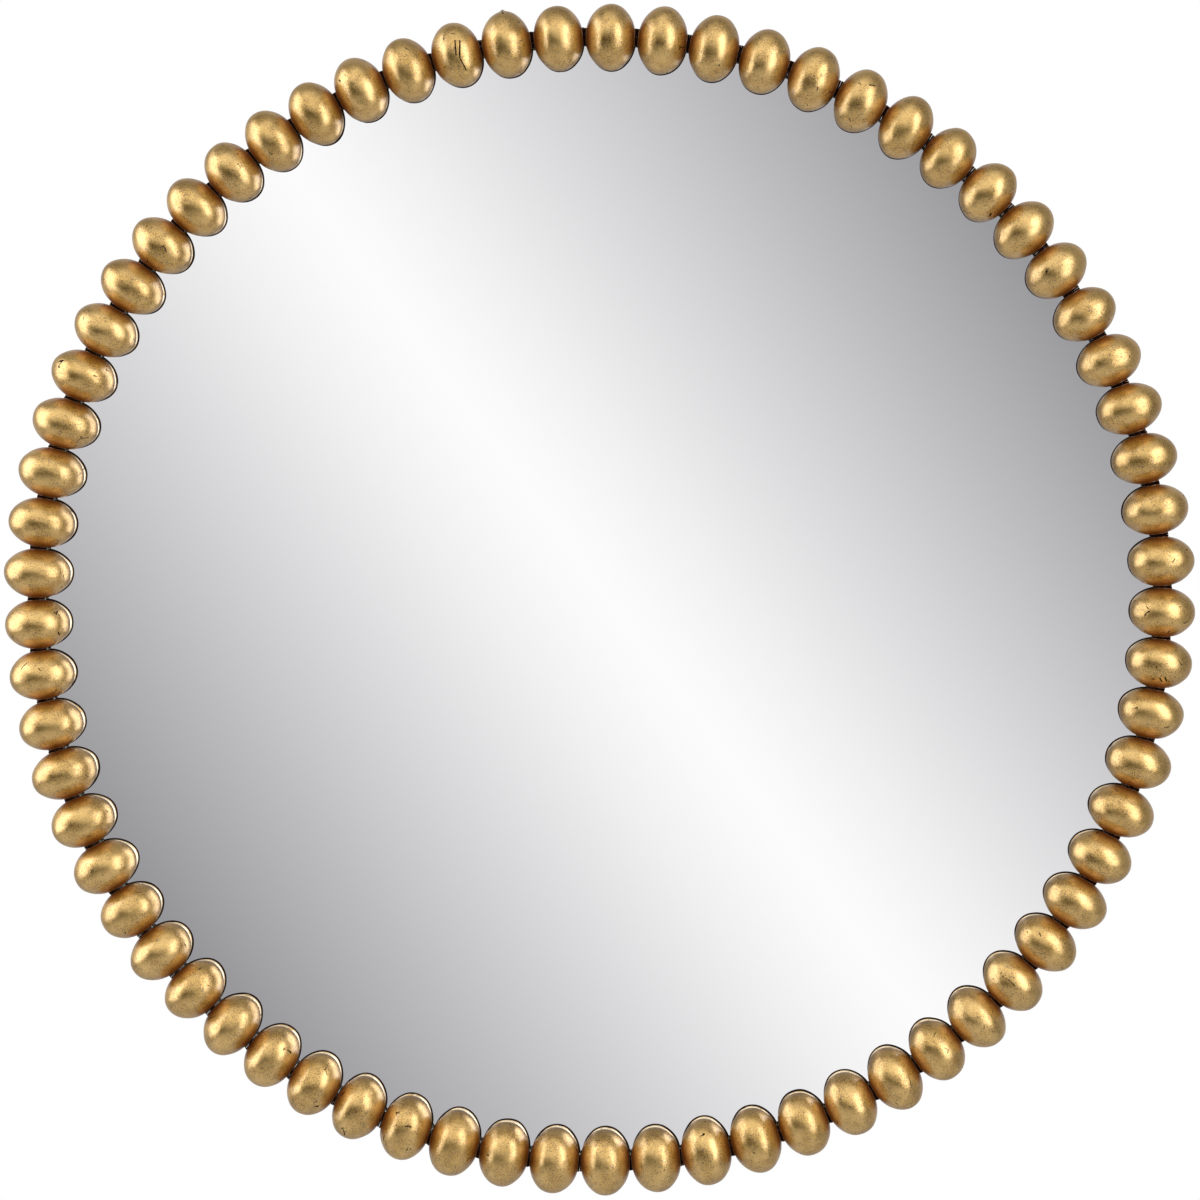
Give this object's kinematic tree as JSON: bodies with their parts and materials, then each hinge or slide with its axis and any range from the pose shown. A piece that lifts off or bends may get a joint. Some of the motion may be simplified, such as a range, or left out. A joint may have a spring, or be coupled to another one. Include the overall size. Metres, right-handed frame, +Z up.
{
  "type": "round mirror",
  "caption": "Round wall mirror with a flat glass and a closed ring of flat-ended gilded beads, on a clipped frame ring with swinging D-ring hangers on the back.",
  "frame": {"origin": "centre of the back panel's rear face, which is level with the rear of the frame ring", "axes": "+Z up as the mirror hangs, +Y out of the back towards the wall, so the glass faces -Y and +X is to the right of someone looking into it"},
  "size_m": [0.8125, 0.0615, 0.8129],
  "materials": {
    "gilded_wood": "burnished gold leaf over brown bole",
    "silvered_glass": "polished, silvered on the back",
    "painted_fibreboard": "matt black paint",
    "hardboard": "raw pressed hardboard",
    "foam_tape": "closed-cell foam",
    "bright_rod": "drawn",
    "zinc_strip": "zinc plated",
    "zinc_screws": "zinc plated",
    "black_screws": "black phosphate",
    "nickel_strip": "nickel plated",
    "nickel_wire": "nickel plated",
    "bumper_rubber": "matt"
  },
  "bodies": {
    "frame": {"back_panel": "hardboard", "bead_clips": "zinc_strip", "bead_hoop": "bright_rod", "bead_screws": "zinc_screws", "beads_01_03": "gilded_wood", "beads_04_06": "gilded_wood", "beads_07_09": "gilded_wood", "beads_10_12": "gilded_wood", "beads_13_15": "gilded_wood", "beads_16_18": "gilded_wood", "beads_19_21": "gilded_wood", "beads_22_24": "gilded_wood", "beads_25_27": "gilded_wood", "beads_28_30": "gilded_wood", "beads_31_33": "gilded_wood", "beads_34_36": "gilded_wood", "beads_37_39": "gilded_wood", "beads_40_42": "gilded_wood", "beads_43_45": "gilded_wood", "beads_46_48": "gilded_wood", "beads_49_51": "gilded_wood", "beads_52_54": "gilded_wood", "beads_55_57": "gilded_wood", "beads_58_60": "gilded_wood", "beads_61_63": "gilded_wood", "beads_64_66": "gilded_wood", "beads_67_69": "gilded_wood", "bumper_lower_left": "bumper_rubber", "bumper_lower_right": "bumper_rubber", "bumper_upper_left": "bumper_rubber", "bumper_upper_right": "bumper_rubber", "clip_screws": "zinc_screws", "frame_ring": "painted_fibreboard", "glass_tape": "foam_tape", "hanger_screws": "zinc_screws", "hanger_strap_left": "nickel_strip", "hanger_strap_right": "nickel_strip", "hoop_sleeve": "bright_rod", "mirror_glass": "silvered_glass", "panel_screws": "black_screws"},
    "d_ring_left": {"d_ring_left": "nickel_wire"},
    "d_ring_right": {"d_ring_right": "nickel_wire"}
  },
  "joints": [
    {"name": "d_ring_left_swing", "type": "hinge", "parent": "frame", "child": "d_ring_left", "pos_m": [-0.23275, 0.00288, 0.21705], "axis": [-1, 0, 0], "range_deg": [0, 175]},
    {"name": "d_ring_right_swing", "type": "hinge", "parent": "frame", "child": "d_ring_right", "pos_m": [0.23275, 0.00288, 0.21705], "axis": [-1, 0, 0], "range_deg": [0, 175]}
  ]
}
